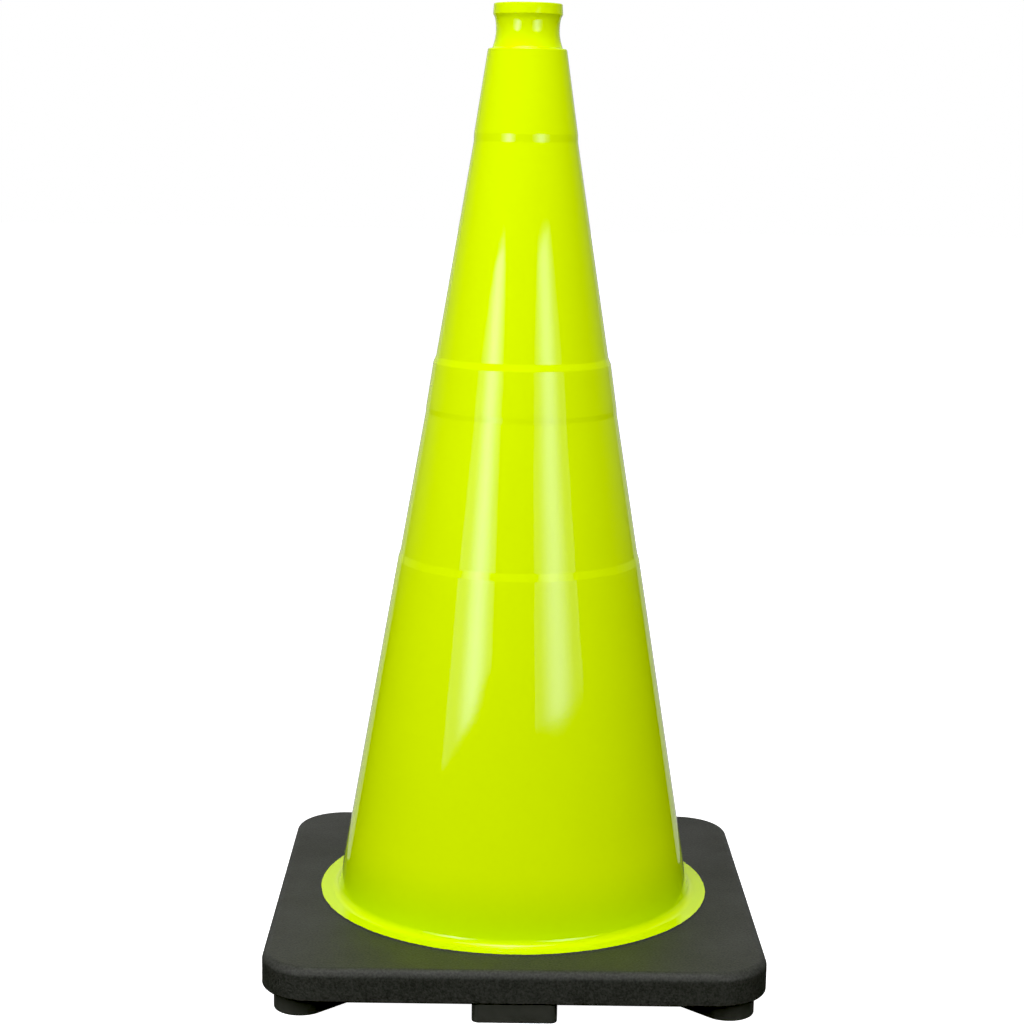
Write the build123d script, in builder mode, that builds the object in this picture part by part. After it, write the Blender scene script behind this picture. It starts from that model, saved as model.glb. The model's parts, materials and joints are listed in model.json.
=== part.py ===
from build123d import *
import os

# Traffic cone of the 28 inch size, in millimetres, +Z up. The origin is on the ground, on the cone's
# axis, under the middle of the square base.
#
# It is two mouldings. The cone body is a thin, flexible shell with a neck, a rim and a flange. The base
# is a heavy slab moulded round that flange: it flows over the flange's sunken outer edge and through a
# ring of holes in it, so the two can't be pulled apart.

# ---- overall sizes ----
HEIGHT = 711.2
BASE_WIDTH = 363.0
BASE_TOP = 38.3
BASE_UNDERSIDE = 14.0

# ---- base slab ----
BASE_CORNER_R = 40.0
BASE_TOP_EDGE_R = 6.0
BASE_LOWER_EDGE_R = 1.5

# ---- feet, moulded with the slab: an obround pad at each corner, a short pad at each side ----
CORNER_FOOT_WIDTH = 39.0
CORNER_FOOT_LENGTH = 79.0
CORNER_FOOT_TIP = 235.2  # reach from the axis, along the diagonal
SIDE_FOOT_WIDTH = 60.5
SIDE_FOOT_DEPTH = 26.0
SIDE_FOOT_CORNER_R = 5.0
SIDE_FOOT_SETBACK = 1.0  # behind the slab's side
SOLE_EDGE_R = 0.8

# ---- cone wall: a straight taper, from which every band is measured ----
WALL_R_AT_GROUND = 142.56
TAPER = 0.1692  # radius lost for each millimetre of height

# Height of each break in the wall's outline, and how far it is set back from the taper. The two long
# stretches between 304.8 and 411.1, and between 453.3 and 611.6, are the shallow seats for the
# reflective collars. The last stretch stands a little proud.
WALL_BREAKS = (
    (299.1, 0.0),
    (304.8, 0.75),
    (411.1, 1.0),
    (415.1, 0.6),
    (448.5, 0.0),
    (453.3, 1.2),
    (611.6, 0.5),
    (617.5, -0.3),
)
WALL_BREAK_R = 3.0

# ---- shoulder, neck and rim ----
SHOULDER_Z = 679.0
SHOULDER_R = 29.0
SHOULDER_EDGE_R = 1.6
NECK_FOOT_R = 25.9
NECK_FOOT_FILLET_R = 1.5
WAIST_LOW = (24.3, 684.4)
WAIST_MIDDLE = (23.3, 692.8)
WAIST_HIGH = (24.3, 701.2)
RIM_LOW = (25.6, 703.4)
RIM_TOP_R = 25.15
RIM_LOW_EDGE_R = 0.8
RIM_TOP_EDGE_R = 1.0

# ---- inside: a smooth straight core, and the socket through the neck ----
CORE_FOOT_R = 133.35
CORE_TOP_R = 26.0
CORE_TOP_Z = 674.0
CORE_CORNER_R = 1.5
SOCKET_R = 19.05
SOCKET_LOWER_Z = 675.6
SOCKET_EDGE_R = 0.6

# ---- flange ----
FLANGE_R = 150.0
FLANGE_TOP = 39.1
FLANGE_EDGE_R = 0.6
FLANGE_FILLET_R = 6.5
ANCHOR_R = 160.0  # the sunken outer edge that the base covers
ANCHOR_TOP = 36.3
ANCHOR_UNDERSIDE = 33.3
ANCHOR_EDGE_R = 0.8
KEY_COUNT = 24
KEY_R = 2.5
KEY_CIRCLE_R = 155.3
HOLE_LOWER_EDGE_R = 2.0


def wall_r(z):
    """Radius of the wall's nominal taper at height z."""
    return WALL_R_AT_GROUND - TAPER * z


def core_r(z):
    """Radius of the inside at height z, carried on down through the base."""
    slope = (CORE_FOOT_R - CORE_TOP_R) / (CORE_TOP_Z - ANCHOR_UNDERSIDE)
    return CORE_TOP_R + slope * (CORE_TOP_Z - z)


# ---- cone body ----
wall_points = [(wall_r(z) - setback, z) for z, setback in WALL_BREAKS]

with BuildPart() as cone_body:
    with BuildSketch(Plane.XZ):
        with BuildLine():
            FilletPolyline(
                (CORE_FOOT_R, ANCHOR_UNDERSIDE),
                (ANCHOR_R, ANCHOR_UNDERSIDE),
                (ANCHOR_R, ANCHOR_TOP),
                (FLANGE_R, ANCHOR_TOP),
                (FLANGE_R, FLANGE_TOP),
                (wall_r(FLANGE_TOP), FLANGE_TOP),
                *wall_points,
                (SHOULDER_R, SHOULDER_Z),
                (NECK_FOOT_R, SHOULDER_Z),
                WAIST_LOW,
                radius=[
                    ANCHOR_EDGE_R,
                    ANCHOR_EDGE_R,
                    0,
                    FLANGE_EDGE_R,
                    FLANGE_FILLET_R,
                    *[WALL_BREAK_R] * len(wall_points),
                    SHOULDER_EDGE_R,
                    NECK_FOOT_FILLET_R,
                ],
            )
            ThreePointArc(WAIST_LOW, WAIST_MIDDLE, WAIST_HIGH)
            FilletPolyline(
                WAIST_HIGH,
                RIM_LOW,
                (RIM_TOP_R, HEIGHT),
                (SOCKET_R, HEIGHT),
                (SOCKET_R, SOCKET_LOWER_Z),
                (CORE_TOP_R, CORE_TOP_Z),
                (CORE_FOOT_R, ANCHOR_UNDERSIDE),
                radius=[
                    RIM_LOW_EDGE_R,
                    RIM_TOP_EDGE_R,
                    SOCKET_EDGE_R,
                    SOCKET_EDGE_R,
                    CORE_CORNER_R,
                ],
            )
        make_face()
    revolve(axis=Axis.Z)
    with BuildSketch(Plane.XY.offset(ANCHOR_UNDERSIDE)):
        with PolarLocations(KEY_CIRCLE_R, KEY_COUNT):
            Circle(KEY_R)
    extrude(amount=ANCHOR_TOP - ANCHOR_UNDERSIDE, mode=Mode.SUBTRACT)
cone_body.part.label = "cone_body"


# ---- base ----
side_foot_centre = BASE_WIDTH / 2 - SIDE_FOOT_SETBACK - SIDE_FOOT_DEPTH / 2
corner_foot_centre = CORNER_FOOT_TIP - CORNER_FOOT_LENGTH / 2

with BuildPart() as base:
    with BuildSketch(Plane.XY.offset(BASE_UNDERSIDE)):
        RectangleRounded(BASE_WIDTH, BASE_WIDTH, BASE_CORNER_R)
    extrude(amount=BASE_TOP - BASE_UNDERSIDE)
    fillet(base.faces().sort_by(Axis.Z)[-1].edges(), BASE_TOP_EDGE_R)
    fillet(base.faces().sort_by(Axis.Z)[0].edges(), BASE_LOWER_EDGE_R)

    # The feet run up into the slab, so that each joins it well inside its rounded lower edge.
    with BuildSketch(Plane.XY):
        with PolarLocations(corner_foot_centre, 4, start_angle=45):
            SlotOverall(CORNER_FOOT_LENGTH, CORNER_FOOT_WIDTH)
        with PolarLocations(side_foot_centre, 4):
            RectangleRounded(SIDE_FOOT_DEPTH, SIDE_FOOT_WIDTH, SIDE_FOOT_CORNER_R)
    extrude(amount=BASE_UNDERSIDE + BASE_LOWER_EDGE_R)
    fillet(base.edges().group_by(Axis.Z)[0], SOLE_EDGE_R)

    # The hole that lets one cone stack over another carries on the line of the cone's inside.
    with BuildSketch(Plane.XZ):
        with BuildLine():
            Polyline(
                (0, HEIGHT / 2),
                (0, BASE_UNDERSIDE),
                (core_r(BASE_UNDERSIDE), BASE_UNDERSIDE),
                (core_r(HEIGHT / 2), HEIGHT / 2),
                close=True,
            )
        make_face()
    revolve(axis=Axis.Z, mode=Mode.SUBTRACT)
    add(cone_body.part, mode=Mode.SUBTRACT)
    fillet(
        base.edges().filter_by(GeomType.CIRCLE).filter_by_position(
            Axis.Z, BASE_UNDERSIDE - 0.01, BASE_UNDERSIDE + 0.01
        ).sort_by(SortBy.RADIUS)[-1],
        HOLE_LOWER_EDGE_R,
    )
base.part.label = "base"


os.makedirs("parts", exist_ok=True)
for piece in (cone_body, base):
    export_step(piece.part, f"parts/{piece.part.label}.step")
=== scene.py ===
import json
import math

import bmesh
import bpy
from bpy.props import FloatProperty, FloatVectorProperty, IntProperty, PointerProperty
from mathutils import Matrix, Vector, noise


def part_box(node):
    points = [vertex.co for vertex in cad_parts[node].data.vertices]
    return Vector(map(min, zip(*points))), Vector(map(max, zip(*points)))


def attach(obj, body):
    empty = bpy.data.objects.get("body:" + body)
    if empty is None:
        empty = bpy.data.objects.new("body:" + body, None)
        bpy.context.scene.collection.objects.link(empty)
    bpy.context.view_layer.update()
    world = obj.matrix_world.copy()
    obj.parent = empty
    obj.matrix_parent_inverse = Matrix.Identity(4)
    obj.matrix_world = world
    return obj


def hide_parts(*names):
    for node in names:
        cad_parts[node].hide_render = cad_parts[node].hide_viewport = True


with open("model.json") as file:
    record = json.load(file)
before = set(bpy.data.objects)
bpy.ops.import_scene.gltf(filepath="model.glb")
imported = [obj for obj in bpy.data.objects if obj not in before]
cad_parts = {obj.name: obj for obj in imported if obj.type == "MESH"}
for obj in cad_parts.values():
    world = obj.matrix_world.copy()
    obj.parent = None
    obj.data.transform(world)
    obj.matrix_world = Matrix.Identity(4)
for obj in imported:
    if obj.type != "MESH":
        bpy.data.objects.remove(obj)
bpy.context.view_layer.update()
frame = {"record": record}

bl_info = {
    "name": "Traffic Cone",
    "version": (1, 0, 0),
    "blender": (4, 5, 0),
    "location": "3D View > Sidebar > Traffic Cone",
    "description": "Builds a stacking traffic cone with a heavy moulded base",
    "category": "Add Mesh",
}

MM = 0.001
ROOT = "root"
WELD = 0.001 * MM  # points closer than this are one

# ---- details of the mouldings that the settings leave alone ----
ANCHOR_THICKNESS = 3.0 * MM  # of the flange's sunken edge, which is buried in the base
FLANGE_PROUD = 0.8 * MM  # the flange's top above the base's
WALL_BREAK_RADIUS = 3.0 * MM
SHOULDER_DEPTH = 32.2 * MM  # depths are measured down from the rim's top
WAIST_LOW_DEPTH = 26.8 * MM
WAIST_HIGH_DEPTH = 10.0 * MM
WAIST_END_RADIUS = 24.3 * MM  # of the neck, where its waist starts and ends
WAIST_RADIUS = 35.8 * MM
RIM_DEPTH = 7.8 * MM
RIM_DRAFT = 0.45 * MM
SOCKET_DEPTH = 35.6 * MM
CORE_TOP_DEPTH = 37.2 * MM

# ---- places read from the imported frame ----
body_low, body_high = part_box("cone_body")
base_low, base_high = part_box("base")
mounts = {mount["name"]: mount for mount in frame["record"]["mounts"]}


def mount_ends(name):
    """Heights of a mount's lower and upper end, in metres."""
    middle = mounts[name]["pos_m"][2]
    half = mounts[name]["dims"]["length_mm"] * MM / 2
    return middle - half, middle + half


def linear(hex_colour):
    """An sRGB hex colour as the linear RGB that shaders and lights take."""
    channels = [int(hex_colour[i : i + 2], 16) / 255 for i in (1, 3, 5)]
    return tuple(c / 12.92 if c <= 0.04045 else ((c + 0.055) / 1.055) ** 2.4 for c in channels)


def length(name, description, millimetres):
    """A length property, given in millimetres and held in metres."""
    return FloatProperty(
        name=name, description=description, default=millimetres * MM, unit="LENGTH", precision=5
    )


def colour(name, description, hex_colour):
    """A colour property, given as an sRGB hex value and held as linear RGB."""
    return FloatVectorProperty(
        name=name, description=description, default=linear(hex_colour),
        subtype="COLOR", size=3, min=0, max=1,
    )


def brightness(name, description, value):
    """A property for how brightly a light's surface glows."""
    return FloatProperty(name=name, description=description, default=value, min=0)


# ---------------------------------------------------------------- settings


class ConeBodySettings(bpy.types.PropertyGroup):
    """Sizes and colour of the flexible cone body"""

    ground_radius: length("Radius at Ground", "Where the wall's taper would meet the ground", 142.56)
    taper: FloatProperty(name="Taper", description="Radius lost per unit of height", default=0.1692)
    shoulder_radius: length("Shoulder Radius", "Outer radius where the wall ends", 29.0)
    neck_radius: length("Neck Radius", "Radius at the foot of the neck", 25.9)
    rim_radius: length("Rim Radius", "Radius of the ring round the top", 25.6)
    core_foot_radius: length("Core Foot Radius", "Radius of the inside at its foot", 133.35)
    core_top_radius: length("Core Top Radius", "Radius of the inside below the socket", 26.0)
    flange_radius: length("Flange Radius", "Outer radius of the part of the flange that shows", 150.0)
    flange_fillet: length("Flange Fillet", "Radius between the wall and the flange", 6.5)
    segments: IntProperty(name="Segments", description="Steps round the axis", default=288, min=16)
    pigment: colour("Pigment", "Fluorescent lime pigment", "#D0EB00")


class BaseSettings(bpy.types.PropertyGroup):
    """Sizes and colour of the heavy base"""

    underside: length("Underside", "Height of the slab's underside", 14.0)
    corner_radius: length("Corner Radius", "Radius of the slab's four corners", 40.0)
    top_edge: length("Top Edge", "Radius of the edge round the slab's top", 6.0)
    lower_edge: length("Lower Edge", "Radius of the slab's lower edge", 1.5)
    hole_edge: length("Hole Edge", "Radius of the hole's lower edge", 2.0)
    flash: length("Flash", "How far the base's material crept over the flange's edge", 0.7)
    pigment: colour("Pigment", "Carbon black in recycled PVC", "#343531")


class FeetSettings(bpy.types.PropertyGroup):
    """Sizes of the feet moulded under the base"""

    corner_width: length("Corner Foot Width", "Width of an obround corner foot", 39.0)
    corner_length: length("Corner Foot Length", "Its length, along the diagonal", 79.0)
    corner_reach: length("Corner Foot Reach", "From the axis to its outer tip", 235.2)
    side_width: length("Side Foot Width", "Width of a side foot", 60.5)
    side_depth: length("Side Foot Depth", "Its depth, square to the side", 26.0)
    side_corner: length("Side Foot Corner", "Radius of its corners", 5.0)
    side_setback: length("Side Foot Setback", "How far it stands behind the side", 1.0)
    sole_edge: length("Sole Edge", "Radius of the edge round each sole", 0.8)
    buried: length("Buried", "How far a foot runs up into the slab", 1.5)


class StageSettings(bpy.types.PropertyGroup):
    """Lights and camera round the cone"""

    backdrop: colour("Backdrop", "Colour of the room behind the cone", "#FFFFFF")
    left_radiance: brightness("Left Soft Box", "Peak radiance of the soft box in front, left", 6.4)
    right_radiance: brightness("Right Soft Box", "Peak radiance of the soft box in front, right", 5.0)
    top_radiance: brightness("Top Soft Box", "Peak radiance of the soft box overhead", 6.5)
    back_radiance: brightness("Lit Sweep", "Radiance of the lit paper behind", 0.5)
    high_fill: brightness("High Fill", "Radiance of the bounce panel high in front", 5.6)
    left_fill: brightness("Left Fill", "Radiance of the bounce panel at the left", 2.1)
    right_fill: brightness("Right Fill", "Radiance of the bounce panel at the right", 1.4)
    back_fill: brightness("Back Fill", "Radiance of the bounce panel behind", 2.2)
    room_radiance: brightness("Room", "Radiance of the dim room all round", 0.26)
    black_point: FloatProperty(
        name="Black Point", description="Linear level that is shown as black", default=0.018, min=0
    )
    lens: FloatProperty(name="Lens", description="Focal length in millimetres", default=76.31, min=1)


def settings(name):
    """One of the scene's property groups."""
    return getattr(bpy.context.scene, name)


# ---------------------------------------------------------------- materials


def add_node(tree, kind, inputs=None, **attributes):
    """Adds a node, sets its attributes, and sets or links its inputs. Returns the node."""
    node = tree.nodes.new(kind)
    for key, value in attributes.items():
        setattr(node, key, value)
    for key, value in (inputs or {}).items():
        if isinstance(value, bpy.types.NodeSocket):
            tree.links.new(value, node.inputs[key])
        else:
            node.inputs[key].default_value = value
    return node


def new_material(name):
    """An empty node material with its output node. Returns the material, its tree and the output."""
    material = bpy.data.materials.new(name)
    material.use_nodes = True
    tree = material.node_tree
    tree.nodes.clear()
    return material, tree, add_node(tree, "ShaderNodeOutputMaterial")


PVC_IOR = 1.53


def lime_pvc(pigment):
    """Flexible PVC, injection moulded in a polished steel mould, with a daylight-fluorescent pigment."""
    material, tree, output = new_material("lime_pvc_polished_mould")
    place = add_node(tree, "ShaderNodeTexCoord").outputs["Object"]

    # The pigment is a little uneven where the melt flowed: soft clouds about 70 mm across.
    clouds = add_node(tree, "ShaderNodeTexNoise", {"Vector": place, "Scale": 1 / (70 * MM), "Detail": 2.0})
    tint = add_node(
        tree, "ShaderNodeMix", {"Factor": clouds.outputs["Fac"]}, data_type="RGBA", clamp_factor=True
    )
    tint.inputs["A"].default_value = (*[c * 0.965 for c in pigment], 1)
    tint.inputs["B"].default_value = (*pigment, 1)

    # Painted shade: the wall glows with the light inside it, but not at its foot, where it runs down to the
    # black base, so there the base colour is painted a little darker and greener.
    height = add_node(tree, "ShaderNodeSeparateXYZ", {"Vector": place}).outputs["Z"]
    above = add_node(
        tree,
        "ShaderNodeMapRange",
        {"Value": height, "From Min": 46 * MM, "From Max": 95 * MM, "To Min": 1.0, "To Max": 0.0},
        interpolation_type="SMOOTHSTEP",
    )
    below = add_node(
        tree,
        "ShaderNodeMapRange",
        {"Value": height, "From Min": 39.5 * MM, "From Max": 45 * MM, "To Min": 0.0, "To Max": 1.0},
        interpolation_type="SMOOTHSTEP",
    )
    shaded = add_node(
        tree, "ShaderNodeMath", {0: above.outputs["Result"], 1: below.outputs["Result"]}, operation="MULTIPLY"
    )
    # Darkens and greens the base colour towards the wall's foot: painted shade.
    foot_painted_shade = add_node(
        tree,
        "ShaderNodeMix",
        {"Factor": shaded.outputs["Value"]},
        data_type="RGBA",
        blend_type="MULTIPLY",
        clamp_factor=True,
    )
    tree.links.new(tint.outputs["Result"], foot_painted_shade.inputs["A"])
    foot_painted_shade.inputs["B"].default_value = (0.8, 0.89, 1.0, 1)

    # Moulded skin: a gentle wave from the uneven shrinking of the wall, about 60 mm from crest to
    # crest, and orange peel of about 3 mm.
    wave = add_node(tree, "ShaderNodeTexNoise", {"Vector": place, "Scale": 1 / (60 * MM), "Detail": 1.0})
    peel = add_node(tree, "ShaderNodeTexNoise", {"Vector": place, "Scale": 1 / (3 * MM), "Detail": 2.0})
    wave_bump = add_node(
        tree, "ShaderNodeBump", {"Height": wave.outputs["Fac"], "Strength": 0.5, "Distance": 0.6 * MM}
    )
    peel_bump = add_node(
        tree,
        "ShaderNodeBump",
        {
            "Height": peel.outputs["Fac"],
            "Normal": wave_bump.outputs["Normal"],
            "Strength": 0.25,
            "Distance": 0.05 * MM,
        },
    )

    # Handling leaves the gloss a little uneven, in patches about 25 mm across.
    patches = add_node(tree, "ShaderNodeTexNoise", {"Vector": place, "Scale": 1 / (25 * MM), "Detail": 4.0})
    gloss = add_node(
        tree,
        "ShaderNodeMapRange",
        {"Value": patches.outputs["Fac"], "From Min": 0.3, "From Max": 0.7, "To Min": 0.05, "To Max": 0.08},
    )
    # Over the fluorescent pigment, which is near full strength in red and green already, a mirrored
    # lamp reads as a cool white.
    shader = add_node(
        tree,
        "ShaderNodeBsdfPrincipled",
        {
            "Base Color": foot_painted_shade.outputs["Result"],
            "Roughness": gloss.outputs["Result"],
            "Normal": peel_bump.outputs["Normal"],
            "IOR": PVC_IOR,
            "Specular Tint": (0.6, 0.65, 1.0, 1),
        },
    )
    tree.links.new(shader.outputs["BSDF"], output.inputs["Surface"])
    return material


def black_pvc_grained(pigment):
    """Recycled PVC with carbon black, moulded against a pebble-grained tool: dark, matt and speckled."""
    material, tree, output = new_material("black_pvc_pebble_grain")
    place = add_node(tree, "ShaderNodeTexCoord").outputs["Object"]

    # Pebble grain of the mould, about 1.3 mm.
    pebbles = add_node(
        tree, "ShaderNodeTexVoronoi", {"Vector": place, "Scale": 1 / (1.3 * MM), "Randomness": 1.0},
        feature="SMOOTH_F1",
    )
    # Flecks of other scrap in the melt, about 1.6 mm, and a slow swell of the surface, about 50 mm.
    flecks = add_node(tree, "ShaderNodeTexNoise", {"Vector": place, "Scale": 1 / (1.6 * MM), "Detail": 3.0})
    clouds = add_node(tree, "ShaderNodeTexNoise", {"Vector": place, "Scale": 1 / (50 * MM), "Detail": 3.0})
    shade = add_node(
        tree,
        "ShaderNodeMapRange",
        {"Value": flecks.outputs["Fac"], "From Min": 0.35, "From Max": 0.65, "To Min": 0.0, "To Max": 1.0},
    )
    tint = add_node(
        tree, "ShaderNodeMix", {"Factor": shade.outputs["Result"]}, data_type="RGBA", clamp_factor=True
    )
    tint.inputs["A"].default_value = (*[c * 0.7 for c in pigment], 1)
    tint.inputs["B"].default_value = (*[c * 1.35 for c in pigment], 1)

    swell_bump = add_node(
        tree, "ShaderNodeBump", {"Height": clouds.outputs["Fac"], "Strength": 0.3, "Distance": 0.8 * MM}
    )
    grain_bump = add_node(
        tree,
        "ShaderNodeBump",
        {
            "Height": pebbles.outputs["Distance"],
            "Normal": swell_bump.outputs["Normal"],
            "Strength": 0.6,
            "Distance": 0.25 * MM,
        },
    )
    sheen = add_node(
        tree,
        "ShaderNodeMapRange",
        {"Value": clouds.outputs["Fac"], "From Min": 0.3, "From Max": 0.7, "To Min": 0.5, "To Max": 0.62},
    )
    shader = add_node(
        tree,
        "ShaderNodeBsdfPrincipled",
        {
            "Base Color": tint.outputs["Result"],
            "Roughness": sheen.outputs["Result"],
            "Normal": grain_bump.outputs["Normal"],
            "IOR": PVC_IOR,
        },
    )
    tree.links.new(shader.outputs["BSDF"], output.inputs["Surface"])
    return material


def black_pvc_satin(pigment):
    """The same recycled PVC where the tool is plain: the feet are smooth and satin, scuffed at the sole, and
    painted lighter than the slab to stand in for light under it.
    """
    material, tree, output = new_material("black_pvc_satin")
    place = add_node(tree, "ShaderNodeTexCoord").outputs["Object"]
    scuffs = add_node(tree, "ShaderNodeTexNoise", {"Vector": place, "Scale": 1 / (6 * MM), "Detail": 5.0})
    flow = add_node(tree, "ShaderNodeTexNoise", {"Vector": place, "Scale": 1 / (30 * MM), "Detail": 2.0})
    # Painted light: the feet's colour is lifted to 1.2 to 1.7 times the slab's pigment, standing in for light
    # under the slab; the scuffs vary it at random, as wear.
    tint = add_node(
        tree, "ShaderNodeMix", {"Factor": scuffs.outputs["Fac"]}, data_type="RGBA", clamp_factor=True
    )
    tint.inputs["A"].default_value = (*[c * 1.2 for c in pigment], 1)
    tint.inputs["B"].default_value = (*[c * 1.7 for c in pigment], 1)
    bump = add_node(
        tree, "ShaderNodeBump", {"Height": scuffs.outputs["Fac"], "Strength": 0.3, "Distance": 0.12 * MM}
    )
    sheen = add_node(
        tree,
        "ShaderNodeMapRange",
        {"Value": flow.outputs["Fac"], "From Min": 0.3, "From Max": 0.7, "To Min": 0.36, "To Max": 0.5},
    )
    shader = add_node(
        tree,
        "ShaderNodeBsdfPrincipled",
        {
            "Base Color": tint.outputs["Result"],
            "Roughness": sheen.outputs["Result"],
            "Normal": bump.outputs["Normal"],
            "IOR": PVC_IOR,
        },
    )
    tree.links.new(shader.outputs["BSDF"], output.inputs["Surface"])
    return material


# ---------------------------------------------------------------- mesh helpers


def add_object(name, data):
    """A new object in the scene's collection."""
    piece = bpy.data.objects.new(name, data)
    bpy.context.scene.collection.objects.link(piece)
    return piece


HARD_ANGLE = math.radians(40)


def smooth_with_hard_edges(mesh):
    """Smooth shading, except across edges that turn more than the hard angle."""
    work = bmesh.new()
    work.from_mesh(mesh)
    for face in work.faces:
        face.smooth = True
    for edge in work.edges:
        edge.smooth = edge.is_manifold and edge.calc_face_angle() < HARD_ANGLE
    work.to_mesh(mesh)
    work.free()


def settle(piece):
    """Weights the piece's normals by face area, so that flat stretches stay flat beside small fillets."""
    smooth_with_hard_edges(piece.data)
    modifier = piece.modifiers.new("Weighted Normal", "WEIGHTED_NORMAL")
    modifier.keep_sharp = True
    modifier.weight = 100  # all of the weight goes to the largest face


def hand_over(piece, node):
    """Rides the piece on the cone's only body, in place of a CAD node."""
    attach(piece, ROOT)
    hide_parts(node)


def loft(name, rings, closed):
    """A mesh through rings of equally many points. A closed one joins its last ring to its first;
    otherwise each end gets a cap."""
    work = bmesh.new()
    rows = [[work.verts.new(point) for point in ring] for ring in rings]
    pairs = list(zip(rows, rows[1:]))
    if closed:
        pairs.append((rows[-1], rows[0]))
    count = len(rows[0])
    for lower, upper in pairs:
        for i in range(count):
            j = (i + 1) % count
            work.faces.new((lower[i], lower[j], upper[j], upper[i]))
    if not closed:
        work.faces.new(rows[0][::-1])
        work.faces.new(rows[-1])
    # An obround's short sides have no length, so their points fall together.
    bmesh.ops.remove_doubles(work, verts=work.verts, dist=WELD)
    bmesh.ops.recalc_face_normals(work, faces=work.faces)
    mesh = bpy.data.meshes.new(name)
    work.to_mesh(mesh)
    work.free()
    return mesh


def quarter_turn(steps, start=0.0):
    """Angles of a quarter circle in equal steps, both ends among them."""
    return [start + math.pi / 2 * i / steps for i in range(steps + 1)]


def rounded_outline(half_x, half_y, corner, arc_steps, side_steps):
    """Points of a rounded rectangle about the origin, anticlockwise, in the XY plane."""

    def on_corner(k, turn):
        sign_x, sign_y = ((1, 1), (-1, 1), (-1, -1), (1, -1))[k % 4]
        centre = Vector((sign_x * (half_x - corner), sign_y * (half_y - corner)))
        return centre + corner * Vector((math.cos(turn), math.sin(turn)))

    points = []
    for k in range(4):
        arc = [on_corner(k, turn) for turn in quarter_turn(arc_steps, k * math.pi / 2)]
        end = on_corner(k + 1, (k + 1) * math.pi / 2)
        points.extend(arc)
        points.extend(arc[-1].lerp(end, i / side_steps) for i in range(1, side_steps))
    return points


# ---------------------------------------------------------------- cone body


def body_outline(sizes):
    """The cone body's closed outline as (radius, height, corner radius) in metres, anticlockwise from
    the foot of its inside."""

    def wall_radius(z):
        return sizes.ground_radius - sizes.taper * z

    lower_seat = mount_ends("lower_collar_seat")
    upper_seat = mount_ends("upper_collar_seat")
    top = body_high.z
    anchor_radius = body_high.x
    anchor_low = body_low.z
    anchor_high = anchor_low + ANCHOR_THICKNESS
    flange_top = base_high.z + FLANGE_PROUD
    shoulder_z = top - SHOULDER_DEPTH
    socket_radius = mounts["accessory_socket"]["dims"]["r_mm"] * MM

    # Height of each break in the wall and its setback from the taper. The two seats lie back, and
    # the last stretch under the shoulder stands a little proud.
    breaks = (
        (lower_seat[0] - 5.7 * MM, 0.0),
        (lower_seat[0], 0.75 * MM),
        (lower_seat[1], 1.0 * MM),
        (lower_seat[1] + 4.0 * MM, 0.6 * MM),
        (upper_seat[0] - 4.8 * MM, 0.0),
        (upper_seat[0], 1.2 * MM),
        (upper_seat[1], 0.5 * MM),
        (upper_seat[1] + 5.9 * MM, -0.3 * MM),
    )
    # The neck's waist is one arc, held by its two ends and the corner where their tangents meet.
    waist_low = Vector((WAIST_END_RADIUS, top - WAIST_LOW_DEPTH))
    waist_high = Vector((WAIST_END_RADIUS, top - WAIST_HIGH_DEPTH))
    half_chord = (waist_high - waist_low).length / 2
    waist_corner = (waist_low + waist_high) / 2
    waist_corner.x -= half_chord * math.tan(math.asin(half_chord / WAIST_RADIUS))

    return [
        (sizes.core_foot_radius, anchor_low, 0),
        (anchor_radius, anchor_low, 0.8 * MM),
        (anchor_radius, anchor_high, 0.8 * MM),
        (sizes.flange_radius, anchor_high, 0),
        (sizes.flange_radius, flange_top, 0.6 * MM),
        (wall_radius(flange_top), flange_top, sizes.flange_fillet),
        *((wall_radius(z) - setback, z, WALL_BREAK_RADIUS) for z, setback in breaks),
        (sizes.shoulder_radius, shoulder_z, 1.6 * MM),
        (sizes.neck_radius, shoulder_z, 1.5 * MM),
        (*waist_low, 0),
        (*waist_corner, WAIST_RADIUS),
        (*waist_high, 0),
        (sizes.rim_radius, top - RIM_DEPTH, 0.8 * MM),
        (sizes.rim_radius - RIM_DRAFT, top, 1.0 * MM),
        (socket_radius, top, 0.6 * MM),
        (socket_radius, top - SOCKET_DEPTH, 0.6 * MM),
        (sizes.core_top_radius, top - CORE_TOP_DEPTH, 1.5 * MM),
    ]


CORNER_RADIUS = "corner_radius"
CORNER_STEPS = 8


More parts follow.
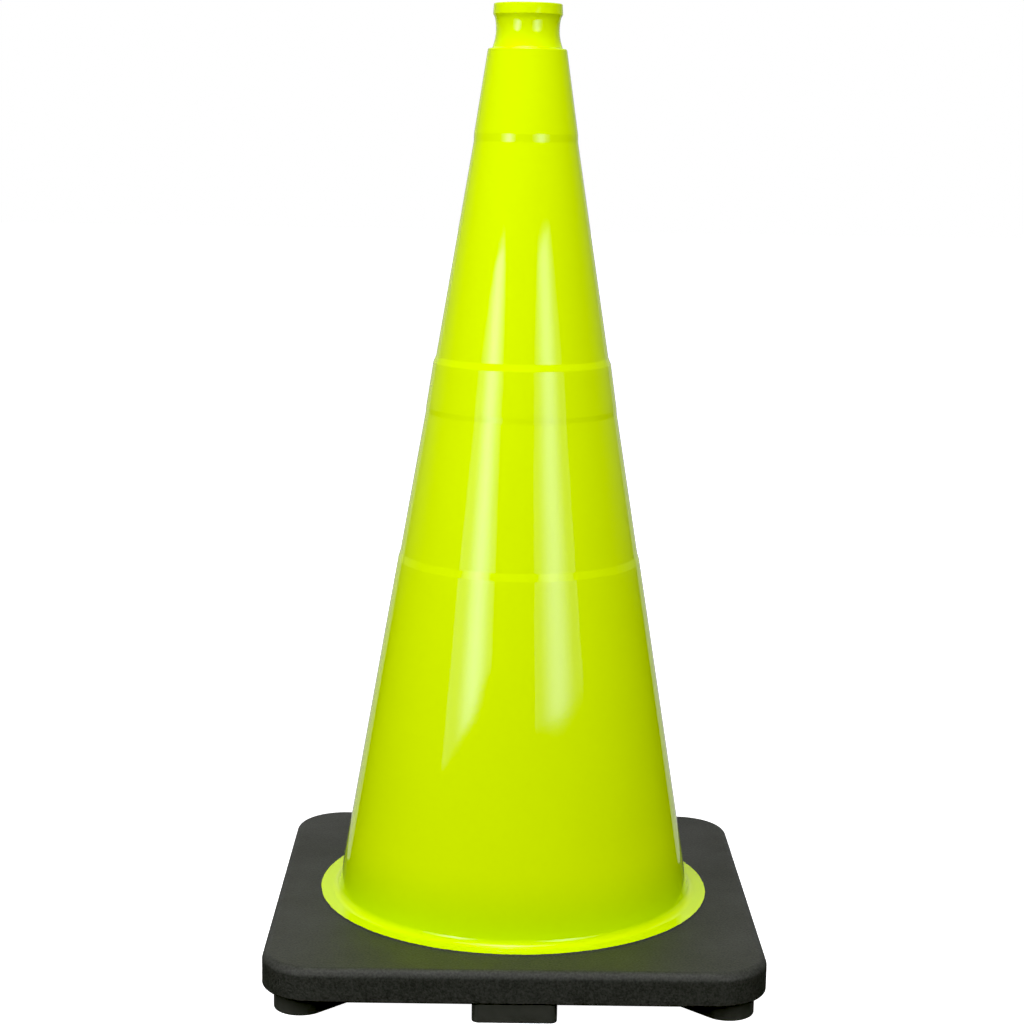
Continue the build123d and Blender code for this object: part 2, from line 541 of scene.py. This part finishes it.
def revolve_tree():
    """Rounds an outline's corners and carries it round the Z axis."""
    tree = bpy.data.node_groups.new("Revolved Moulding", "GeometryNodeTree")
    interface = tree.interface
    interface.new_socket("Outline", in_out="INPUT", socket_type="NodeSocketGeometry")
    interface.new_socket("Segments", in_out="INPUT", socket_type="NodeSocketInt")
    interface.new_socket("Corner Steps", in_out="INPUT", socket_type="NodeSocketInt")
    interface.new_socket("Ring Radius", in_out="INPUT", socket_type="NodeSocketFloat")
    interface.new_socket("Material", in_out="INPUT", socket_type="NodeSocketMaterial")
    interface.new_socket("Moulding", in_out="OUTPUT", socket_type="NodeSocketGeometry")

    given = add_node(tree, "NodeGroupInput")
    radius = add_node(
        tree, "GeometryNodeInputNamedAttribute", {"Name": CORNER_RADIUS}, data_type="FLOAT"
    ).outputs["Attribute"]
    rounded = add_node(tree, "FunctionNodeCompare", {"A": radius, "B": 0.0}, operation="GREATER_THAN")
    steps = add_node(
        tree,
        "GeometryNodeSwitch",
        {"Switch": rounded.outputs["Result"], "False": 1, "True": given.outputs["Corner Steps"]},
        input_type="INT",
    )
    line = add_node(tree, "GeometryNodeMeshToCurve", {"Mesh": given.outputs["Outline"]})
    profile = add_node(
        tree,
        "GeometryNodeFilletCurve",
        {"Curve": line.outputs["Curve"], "Radius": radius, "Count": steps.outputs["Output"]},
        mode="POLY",
    )
    ring = add_node(
        tree,
        "GeometryNodeCurvePrimitiveCircle",
        {"Resolution": given.outputs["Segments"], "Radius": given.outputs["Ring Radius"]},
        mode="RADIUS",
    )
    skin = add_node(
        tree,
        "GeometryNodeCurveToMesh",
        {"Curve": ring.outputs["Curve"], "Profile Curve": profile.outputs["Curve"]},
    )
    merged = add_node(
        tree, "GeometryNodeMergeByDistance", {"Geometry": skin.outputs["Mesh"], "Distance": WELD}
    )
    # Carried round in this sense, the outline leaves a skin whose faces point inwards.
    outwards = add_node(tree, "GeometryNodeFlipFaces", {"Mesh": merged.outputs["Geometry"]})
    real = add_node(tree, "GeometryNodeRealizeInstances", {"Geometry": outwards.outputs["Mesh"]})
    finish = add_node(
        tree,
        "GeometryNodeSetMaterial",
        {"Geometry": real.outputs["Geometry"], "Material": given.outputs["Material"]},
    )
    add_node(tree, "NodeGroupOutput", {"Moulding": finish.outputs["Geometry"]})
    return tree


def grow(name, source, tree, inputs):
    """Runs a node tree on an object, and returns a new object whose plain mesh is the result."""
    modifier = source.modifiers.new(tree.name, "NODES")
    modifier.node_group = tree
    sockets = {item.name: item.identifier for item in tree.interface.items_tree if item.in_out == "INPUT"}
    for key, value in inputs.items():
        modifier[sockets[key]] = value
    source.update_tag()
    bpy.context.view_layer.update()
    evaluated = source.evaluated_get(bpy.context.evaluated_depsgraph_get())
    mesh = bpy.data.meshes.new_from_object(evaluated)
    source.modifiers.remove(modifier)
    bpy.data.objects.remove(source)
    mesh.name = name
    return add_object(name, mesh)


def outline_object(outline, ring_radius):
    """The outline as a closed chain of edges, whose points carry their corner radius. Its X is
    measured outwards from the ring that it will be carried round, and its Y downwards."""
    mesh = bpy.data.meshes.new("outline")
    count = len(outline)
    points = [(radius - ring_radius, -height, 0) for radius, height, _ in outline]
    mesh.from_pydata(points, [(i, (i + 1) % count) for i in range(count)], [])
    corner = mesh.attributes.new(CORNER_RADIUS, "FLOAT", "POINT")
    corner.data.foreach_set("value", [corner_radius for _, _, corner_radius in outline])
    return add_object("outline", mesh)


class TRAFFICCONE_OT_add_cone_body(bpy.types.Operator):
    """Add the lime cone body: rim, neck, tapered wall with its collar seats, flange and smooth inside"""

    bl_idname = "traffic_cone.add_cone_body"
    bl_label = "Cone Body"

    def execute(self, context):
        sizes = settings("cone_body_settings")
        material = lime_pvc(sizes.pigment)
        outline = outline_object(body_outline(sizes), sizes.flange_radius)
        inputs = {
            "Segments": sizes.segments,
            "Corner Steps": CORNER_STEPS,
            "Ring Radius": sizes.flange_radius,
            "Material": material,
        }
        body = grow("cone_body_moulding", outline, revolve_tree(), inputs)
        settle(body)
        hand_over(body, "cone_body")
        return {"FINISHED"}


# ---------------------------------------------------------------- base


ARC_STEPS = 64
SIDE_STEPS = 160
TOP_EDGE_STEPS = 12
LOWER_EDGE_STEPS = 5
LEAST_CREEP, MOST_CREEP = 0.15, 1.3  # of the flash, as shares of its usual width


def base_ring(half, corner, z):
    """One ring of the base: a rounded square with the same number of points whatever its size."""
    outline = rounded_outline(half, half, corner, ARC_STEPS, SIDE_STEPS)
    return [Vector((*point, z)) for point in outline]


def circle_ring(like, radius, z):
    """A round ring whose points lie in the same directions as another ring's. The radius is a function
    of the direction."""
    turns = [math.atan2(point.y, point.x) for point in like]
    return [Vector((radius(turn) * math.cos(turn), radius(turn) * math.sin(turn), z)) for turn in turns]


RIPPLE_SMOOTHNESS = 0.8
RIPPLE_STEP = 2.0  # how many times finer each layer is than the one before
RIPPLE_LAYERS = 3


def ripple(turn, radius, grain):
    """An uneven number between about -1 and 1, which changes over a grain's length round a circle."""
    place = Vector((math.cos(turn), math.sin(turn), 0)) * (radius / grain)
    return noise.fractal(place, RIPPLE_SMOOTHNESS, RIPPLE_STEP, RIPPLE_LAYERS)


def base_rings(sizes, body):
    """The slab's rings: from the flash over the flange's edge, across the top, down the sides,
    under the slab, up the hole, and round the pocket that holds the flange's sunken edge."""
    half = base_high.x
    top = base_high.z
    under = sizes.underside
    flange = body.flange_radius
    pocket_low = body_low.z
    pocket_radius = body_high.x
    outline = base_ring(half, sizes.corner_radius, top)
    rings = []

    def add_circle(radius, z):
        rings.append(circle_ring(outline, lambda turn: radius, z))

    def core_radius(z):
        core_top = body_high.z - CORE_TOP_DEPTH
        slope = (body.core_foot_radius - body.core_top_radius) / (core_top - pocket_low)
        return body.core_foot_radius + slope * (pocket_low - z)

    def flash_edge(turn):
        # Waves about 9 mm long, with teeth of about 2.5 mm on them.
        creep = 0.5 + 0.6 * ripple(turn, flange, 9 * MM) + 0.5 * ripple(turn, flange, 2.5 * MM)
        return flange - sizes.flash * max(LEAST_CREEP, min(MOST_CREEP, creep))

    # The flash: a thin uneven lip, from inside the flange's rounded edge to the slab's top. Its three
    # middle rings follow its wandering edge.
    add_circle(flange - 0.45 * MM, top + 0.2 * MM)
    for aside, rise in ((0.0, 0.78 * MM), (0.15 * MM, 0.92 * MM), (0.5 * MM, 0.86 * MM)):
        rings.append(circle_ring(outline, lambda turn: flash_edge(turn) + aside, top + rise))
    for aside, rise in ((0.7 * MM, 0.35 * MM), (1.6 * MM, 0.06 * MM), (3.0 * MM, 0.0)):
        add_circle(flange + aside, top + rise)

    # The top's rounded edge.
    for turn in quarter_turn(TOP_EDGE_STEPS):
        inset = sizes.top_edge * (1 - math.sin(turn))
        z = top - sizes.top_edge * (1 - math.cos(turn))
        rings.append(base_ring(half - inset, sizes.corner_radius - inset, z))
    # The slab's lower edge.
    for turn in quarter_turn(LOWER_EDGE_STEPS):
        inset = sizes.lower_edge * (1 - math.cos(turn))
        z = under + sizes.lower_edge * (1 - math.sin(turn))
        rings.append(base_ring(half - inset, sizes.corner_radius - inset, z))
    # The hole's lower edge, its wall, and the pocket.
    for turn in quarter_turn(LOWER_EDGE_STEPS):
        z = under + sizes.hole_edge * (1 - math.cos(turn))
        add_circle(core_radius(z) + sizes.hole_edge * (1 - math.sin(turn)), z)
    add_circle(core_radius(pocket_low), pocket_low)
    add_circle(pocket_radius, pocket_low)
    add_circle(pocket_radius, pocket_low + ANCHOR_THICKNESS)
    add_circle(flange, pocket_low + ANCHOR_THICKNESS)
    return rings


class TRAFFICCONE_OT_add_base(bpy.types.Operator):
    """Add the heavy black slab that is moulded round the cone body's flange"""

    bl_idname = "traffic_cone.add_base"
    bl_label = "Base"

    def execute(self, context):
        sizes = settings("base_settings")
        mesh = loft("base_moulding", base_rings(sizes, settings("cone_body_settings")), closed=True)
        mesh.materials.append(black_pvc_grained(sizes.pigment))
        slab = add_object("base_moulding", mesh)
        settle(slab)
        hand_over(slab, "base")
        return {"FINISHED"}


# ---------------------------------------------------------------- feet


SOLE_STEPS = 4
FOOT_SIDE_STEPS = 4
OBROUND_ARC_STEPS = 16
PAD_ARC_STEPS = 6
FEET_OF_A_KIND = 4


def foot_mesh(name, half_x, half_y, corner, sole_edge, height, arc_steps):
    """One foot about the origin, standing on the ground: a rounded block with a rounded sole."""
    rings = []
    for turn in quarter_turn(SOLE_STEPS):
        inset = sole_edge * (1 - math.sin(turn))
        outline = rounded_outline(half_x - inset, half_y - inset, corner - inset, arc_steps, FOOT_SIDE_STEPS)
        rings.append([Vector((*point, sole_edge * (1 - math.cos(turn)))) for point in outline])
    rings.append([Vector((point.x, point.y, height)) for point in rings[-1]])
    return loft(name, rings, closed=False)


def ring_of_feet_tree():
    """Sets copies of one foot round the axis, each turned to face outwards."""
    tree = bpy.data.node_groups.new("Ring of Feet", "GeometryNodeTree")
    interface = tree.interface
    interface.new_socket("Foot", in_out="INPUT", socket_type="NodeSocketGeometry")
    interface.new_socket("Count", in_out="INPUT", socket_type="NodeSocketInt")
    interface.new_socket("Reach", in_out="INPUT", socket_type="NodeSocketFloat")
    interface.new_socket("First Turn", in_out="INPUT", socket_type="NodeSocketFloat")
    interface.new_socket("Material", in_out="INPUT", socket_type="NodeSocketMaterial")
    interface.new_socket("Feet", in_out="OUTPUT", socket_type="NodeSocketGeometry")

    given = add_node(tree, "NodeGroupInput")
    index = add_node(tree, "GeometryNodeInputIndex").outputs["Index"]
    step = add_node(
        tree, "ShaderNodeMath", {0: math.tau, 1: given.outputs["Count"]}, operation="DIVIDE"
    )
    turn = add_node(
        tree,
        "ShaderNodeMath",
        {0: index, 1: step.outputs["Value"], 2: given.outputs["First Turn"]},
        operation="MULTIPLY_ADD",
    )
    facing = add_node(tree, "ShaderNodeCombineXYZ", {"Z": turn.outputs["Value"]})
    outwards = add_node(tree, "ShaderNodeCombineXYZ", {"X": given.outputs["Reach"]})
    place = add_node(
        tree,
        "ShaderNodeVectorRotate",
        {"Vector": outwards.outputs["Vector"], "Angle": turn.outputs["Value"]},
        rotation_type="Z_AXIS",
    )
    points = add_node(
        tree, "GeometryNodePoints", {"Count": given.outputs["Count"], "Position": place.outputs["Vector"]}
    )
    copies = add_node(
        tree,
        "GeometryNodeInstanceOnPoints",
        {
            "Points": points.outputs["Points"],
            "Instance": given.outputs["Foot"],
            "Rotation": facing.outputs["Vector"],
        },
    )
    real = add_node(tree, "GeometryNodeRealizeInstances", {"Geometry": copies.outputs["Instances"]})
    finish = add_node(
        tree,
        "GeometryNodeSetMaterial",
        {"Geometry": real.outputs["Geometry"], "Material": given.outputs["Material"]},
    )
    add_node(tree, "NodeGroupOutput", {"Feet": finish.outputs["Geometry"]})
    return tree


class TRAFFICCONE_OT_add_feet(bpy.types.Operator):
    """Add the feet moulded under the base: an obround pad at each corner and a short pad at each side"""

    bl_idname = "traffic_cone.add_feet"
    bl_label = "Feet"

    def execute(self, context):
        sizes = settings("feet_settings")
        base = settings("base_settings")
        material = black_pvc_satin(base.pigment)
        height = base.underside + sizes.buried
        half_width = sizes.corner_width / 2
        corner_foot = foot_mesh(
            "corner_foot", sizes.corner_length / 2, half_width, half_width,
            sizes.sole_edge, height, OBROUND_ARC_STEPS,
        )
        side_foot = foot_mesh(
            "side_foot", sizes.side_depth / 2, sizes.side_width / 2, sizes.side_corner,
            sizes.sole_edge, height, PAD_ARC_STEPS,
        )
        corner_reach = sizes.corner_reach - sizes.corner_length / 2
        side_reach = base_high.x - sizes.side_setback - sizes.side_depth / 2
        tree = ring_of_feet_tree()
        kinds = (
            ("corner_feet", corner_foot, corner_reach, math.pi / 4),
            ("side_feet", side_foot, side_reach, 0.0),
        )
        for name, foot, reach, first_turn in kinds:
            inputs = {
                "Count": FEET_OF_A_KIND,
                "Reach": reach,
                "First Turn": first_turn,
                "Material": material,
            }
            feet = grow(name, add_object(f"{name}_source", foot), tree, inputs)
            settle(feet)
            hand_over(feet, "base")
        return {"FINISHED"}


# ---------------------------------------------------------------- stage


def floor_material(backdrop):
    """Seamless white paper, overexposed: bright enough to fade into the room behind."""
    material, tree, output = new_material("white_paper_sweep")
    place = add_node(tree, "ShaderNodeTexCoord").outputs["Object"]
    fibres = add_node(tree, "ShaderNodeTexNoise", {"Vector": place, "Scale": 1 / (2 * MM), "Detail": 2.0})
    bump = add_node(
        tree, "ShaderNodeBump", {"Height": fibres.outputs["Fac"], "Strength": 0.1, "Distance": 0.05 * MM}
    )
    shader = add_node(
        tree,
        "ShaderNodeBsdfPrincipled",
        {
            "Base Color": (*[c * 0.85 for c in backdrop], 1),
            "Roughness": 0.9,
            "Normal": bump.outputs["Normal"],
            "Emission Color": (*backdrop, 1),
            "Emission Strength": 1.0,
        },
    )
    tree.links.new(shader.outputs["BSDF"], output.inputs["Surface"])
    return material


def add_floor(stage):
    """The pale floor. Only the camera sees it: the soft boxes and the sweep do all the lighting."""
    half = 12.0
    mesh = bpy.data.meshes.new("floor")
    corners = [(-half, -half, 0), (half, -half, 0), (half, half, 0), (-half, half, 0)]
    mesh.from_pydata(corners, [], [(0, 1, 2, 3)])
    mesh.materials.append(floor_material(stage.backdrop))
    floor = add_object("floor", mesh)
    floor.visible_diffuse = False
    floor.visible_glossy = False


def lit_fabric(name, radiance):
    """White paper or diffuser fabric, lit evenly."""
    material, tree, output = new_material(name)
    glow = add_node(tree, "ShaderNodeEmission", {"Color": (1, 1, 1, 1), "Strength": radiance})
    tree.links.new(glow.outputs["Emission"], output.inputs["Surface"])
    return material


DIM = 0.22  # how bright the fabric is away from its lamp, and how much its frame line adds
DIM_FROM = 0.8  # where it has reached that, as a share of the half width
FRAME_LINE_FROM = 0.965
SOFT_BOX_CORNER_STEPS = 12


def diffuser_fabric(name, radiance, half_width, core):
    """Diffuser fabric with a lamp close behind it: hot near the lamp, dimmer towards the sides, and a
    thin bright line where the fabric wraps round the frame. The core is the lamp's sideways offset."""
    material, tree, output = new_material(name)
    place = add_node(tree, "ShaderNodeTexCoord").outputs["Object"]
    across = add_node(tree, "ShaderNodeSeparateXYZ", {"Vector": place})
    aside = add_node(tree, "ShaderNodeMath", {0: across.outputs["X"], 1: core}, operation="SUBTRACT")
    away = add_node(tree, "ShaderNodeMath", {0: aside.outputs["Value"]}, operation="ABSOLUTE")
    hot = add_node(
        tree,
        "ShaderNodeMapRange",
        {
            "Value": away.outputs["Value"],
            "From Min": 0.0,
            "From Max": DIM_FROM * half_width,
            "To Min": radiance,
            "To Max": DIM * radiance,
        },
        interpolation_type="SMOOTHSTEP",
    )
    side = add_node(tree, "ShaderNodeMath", {0: across.outputs["X"]}, operation="ABSOLUTE")
    frame_line = add_node(
        tree,
        "ShaderNodeMath",
        {0: side.outputs["Value"], 1: FRAME_LINE_FROM * half_width},
        operation="GREATER_THAN",
    )
    strength = add_node(
        tree,
        "ShaderNodeMath",
        {0: frame_line.outputs["Value"], 1: DIM * radiance, 2: hot.outputs["Result"]},
        operation="MULTIPLY_ADD",
    )
    glow = add_node(
        tree, "ShaderNodeEmission", {"Color": (1, 1, 1, 1), "Strength": strength.outputs["Value"]}
    )
    tree.links.new(glow.outputs["Emission"], output.inputs["Surface"])
    return material


def facing(centre, target):
    """The placing that puts a flat panel at a centre and turns its face to a target."""
    turn = (Vector(target) - Vector(centre)).to_track_quat("Z", "Y").to_matrix().to_4x4()
    return Matrix.Translation(centre) @ turn


def add_light(name, points, faces, material):
    """An object of the stage that lights and is mirrored, but isn't seen itself."""
    mesh = bpy.data.meshes.new(name)
    mesh.from_pydata(points, [], faces)
    mesh.materials.append(material)
    light = add_object(name, mesh)
    light.visible_camera = False
    return light


def add_soft_box(name, radiance, centre, target, width, height, top_corner, tilt=0.0, core=0.0):
    """A soft box that faces a point: a rectangle whose two upper corners are rounded, turned by tilt
    about its own middle."""
    half_width, half_height = width / 2, height / 2
    outline = [Vector((half_width, -half_height, 0)), Vector((-half_width, -half_height, 0))]
    for side, first_turn in ((-1, math.pi), (1, math.pi / 2)):
        corner_centre = Vector((side * (half_width - top_corner), half_height - top_corner, 0))
        for turn in quarter_turn(SOFT_BOX_CORNER_STEPS):
            angle = first_turn - turn
            outline.append(corner_centre + top_corner * Vector((math.cos(angle), math.sin(angle), 0)))
    fabric = diffuser_fabric(name, radiance, half_width, core)
    box = add_light(name, list(reversed(outline)), [range(len(outline))], fabric)
    box.matrix_world = facing(centre, target) @ Matrix.Rotation(tilt, 4, "Z")


def add_fill(name, radiance, centre, target, width, height):
    """A large bounce panel that only softens the shading: no surface mirrors it."""
    x, y = width / 2, height / 2
    corners = [(-x, -y, 0), (x, -y, 0), (x, y, 0), (-x, y, 0)]
    panel = add_light(name, corners, [(0, 1, 2, 3)], lit_fabric(name, radiance))
    panel.matrix_world = facing(centre, target)
    panel.visible_glossy = False


SWEEP_BEND_STEPS = 8


def add_lit_sweep(radiance):
    """The lit paper behind the cone, which its sides mirror: along the floor, then up a curve."""
    near, far, rise, bend = 0.19, 1.5, 2.0, 0.4  # in metres
    near_half, spread = 0.16, 0.62  # half width at the axis, and gained for each metre behind it
    section = [(near, MM)]
    for turn in quarter_turn(SWEEP_BEND_STEPS):
        section.append((far - bend + bend * math.sin(turn), MM + bend * (1 - math.cos(turn))))
    section.append((far, rise))
    points = [(side * (near_half + spread * y), y, z) for y, z in section for side in (-1, 1)]
    faces = [(2 * i, 2 * i + 1, 2 * i + 3, 2 * i + 2) for i in range(len(section) - 1)]
    add_light("lit_sweep", points, faces, lit_fabric("lit_paper", radiance))


def room(stage):
    """The world: white where the camera looks past the cone, dim for its light and reflections."""
    world = bpy.data.worlds.new("white_room")
    world.use_nodes = True
    tree = world.node_tree
    tree.nodes.clear()
    seen = add_node(tree, "ShaderNodeBackground", {"Color": (*stage.backdrop, 1), "Strength": 1.0})
    # The room is dim, and darker still below the horizon, where the unlit studio floor is: it falls
    # off to the floor's share of the light just under the horizon.
    floor_share, fall_off = 0.15, 0.15
    direction = add_node(tree, "ShaderNodeTexCoord").outputs["Generated"]
    rise = add_node(tree, "ShaderNodeSeparateXYZ", {"Vector": direction})
    strength = add_node(
        tree,
        "ShaderNodeMapRange",
        {
            "Value": rise.outputs["Z"],
            "From Min": -fall_off,
            "From Max": 0.0,
            "To Min": floor_share * stage.room_radiance,
            "To Max": stage.room_radiance,
        },
    )
    lit = add_node(
        tree,
        "ShaderNodeBackground",
        {"Color": (*stage.backdrop, 1), "Strength": strength.outputs["Result"]},
    )
    path = add_node(tree, "ShaderNodeLightPath")
    mix = add_node(
        tree,
        "ShaderNodeMixShader",
        {0: path.outputs["Is Camera Ray"], 1: lit.outputs["Background"], 2: seen.outputs["Background"]},
    )
    add_node(tree, "ShaderNodeOutputWorld", {"Surface": mix.outputs["Shader"]})
    bpy.context.scene.world = world


def around(azimuth, distance, height):
    """A point at an azimuth in degrees from straight in front of the cone, positive to its right."""
    turn = math.radians(azimuth)
    return Vector((math.sin(turn) * distance, -math.cos(turn) * distance, height))


SENSOR_WIDTH = 36  # in millimetres


def add_camera(stage):
    """A camera a little below the height of the cone's top, looking slightly down."""
    place = Vector((-21.854, -1624.55, 619.73)) * MM
    pan, pitch, roll = -0.0099, 0.17393, 0.01655  # radians: to its right, downwards, and about its view
    data = bpy.data.cameras.new("camera")
    data.sensor_width = SENSOR_WIDTH
    data.lens = stage.lens
    camera = add_object("camera", data)
    turn = (
        Matrix.Rotation(pan, 4, "Z")
        @ Matrix.Rotation(math.pi / 2 - pitch, 4, "X")
        @ Matrix.Rotation(roll, 4, "Z")
    )
    camera.matrix_world = Matrix.Translation(place) @ turn
    bpy.context.scene.camera = camera


class TRAFFICCONE_OT_add_stage(bpy.types.Operator):
    """Add the pale floor, the soft studio lights, the white room and the camera"""

    bl_idname = "traffic_cone.add_stage"
    bl_label = "Stage"

    def execute(self, context):
        stage = settings("stage_settings")
        # A plain display transform keeps the fluorescent lime saturated. A slightly raised black point
        # takes out the grey veil of the room's reflection.
        view = context.scene.view_settings
        view.view_transform = "Standard"
        view.use_curve_mapping = True
        view.curve_mapping.black_level = (stage.black_point,) * 3
        view.curve_mapping.update()
        room(stage)
        add_floor(stage)
        add_soft_box(
            "left_soft_box", stage.left_radiance, around(-40.4, 1.5, 0.575), (0, 0, 0.575),
            width=0.9, height=0.64, top_corner=0.3, tilt=math.radians(-12), core=-0.08,
        )
        add_soft_box(
            "right_soft_box", stage.right_radiance, around(33.5, 1.5, 0.605), (0, 0, 0.605),
            width=1.07, height=0.66, top_corner=0.3, core=0.03,
        )
        add_soft_box(
            "top_soft_box", stage.top_radiance, (-0.1, -0.45, 2.2), (0, 0, body_high.z / 2),
            width=1.5, height=0.75, top_corner=0.1,
        )
        add_lit_sweep(stage.back_radiance)
        chest = (0, 0, 0.4)  # the height that the bounce panels face
        add_fill("high_fill", stage.high_fill, around(-10, 1.3, 1.7), chest, 1.2, 0.8)
        add_fill("left_fill", stage.left_fill, around(-80, 1.5, 0.9), chest, 1.2, 1.2)
        add_fill("right_fill", stage.right_fill, around(80, 1.5, 0.9), chest, 1.2, 1.2)
        add_fill("back_fill", stage.back_fill, around(180, 1.5, 0.47), chest, 1.5, 0.9)
        add_camera(stage)
        return {"FINISHED"}


# ---------------------------------------------------------------- add-on


class TRAFFICCONE_PT_panel(bpy.types.Panel):
    """Lists the cone's pieces and the stage in the 3D view's sidebar"""

    bl_idname = "TRAFFICCONE_PT_panel"
    bl_label = "Traffic Cone"
    bl_space_type = "VIEW_3D"
    bl_region_type = "UI"
    bl_category = "Traffic Cone"

    def draw(self, context):
        for name, _, operator in SECTIONS:
            box = self.layout.box()
            box.operator(operator.bl_idname)
            values = getattr(context.scene, name)
            for key in values.__annotations__:
                box.prop(values, key)


SECTIONS = (
    ("cone_body_settings", ConeBodySettings, TRAFFICCONE_OT_add_cone_body),
    ("base_settings", BaseSettings, TRAFFICCONE_OT_add_base),
    ("feet_settings", FeetSettings, TRAFFICCONE_OT_add_feet),
    ("stage_settings", StageSettings, TRAFFICCONE_OT_add_stage),
)


def register():
    for name, group, operator in SECTIONS:
        bpy.utils.register_class(group)
        setattr(bpy.types.Scene, name, PointerProperty(type=group))
        bpy.utils.register_class(operator)
    bpy.utils.register_class(TRAFFICCONE_PT_panel)


def unregister():
    bpy.utils.unregister_class(TRAFFICCONE_PT_panel)
    for name, group, operator in reversed(SECTIONS):
        bpy.utils.unregister_class(operator)
        delattr(bpy.types.Scene, name)
        bpy.utils.unregister_class(group)


def main():
    """Builds every piece and the stage."""
    register()
    bpy.ops.traffic_cone.add_cone_body()
    bpy.ops.traffic_cone.add_base()
    bpy.ops.traffic_cone.add_feet()
    bpy.ops.traffic_cone.add_stage()


if __name__ == "__main__":
    main()
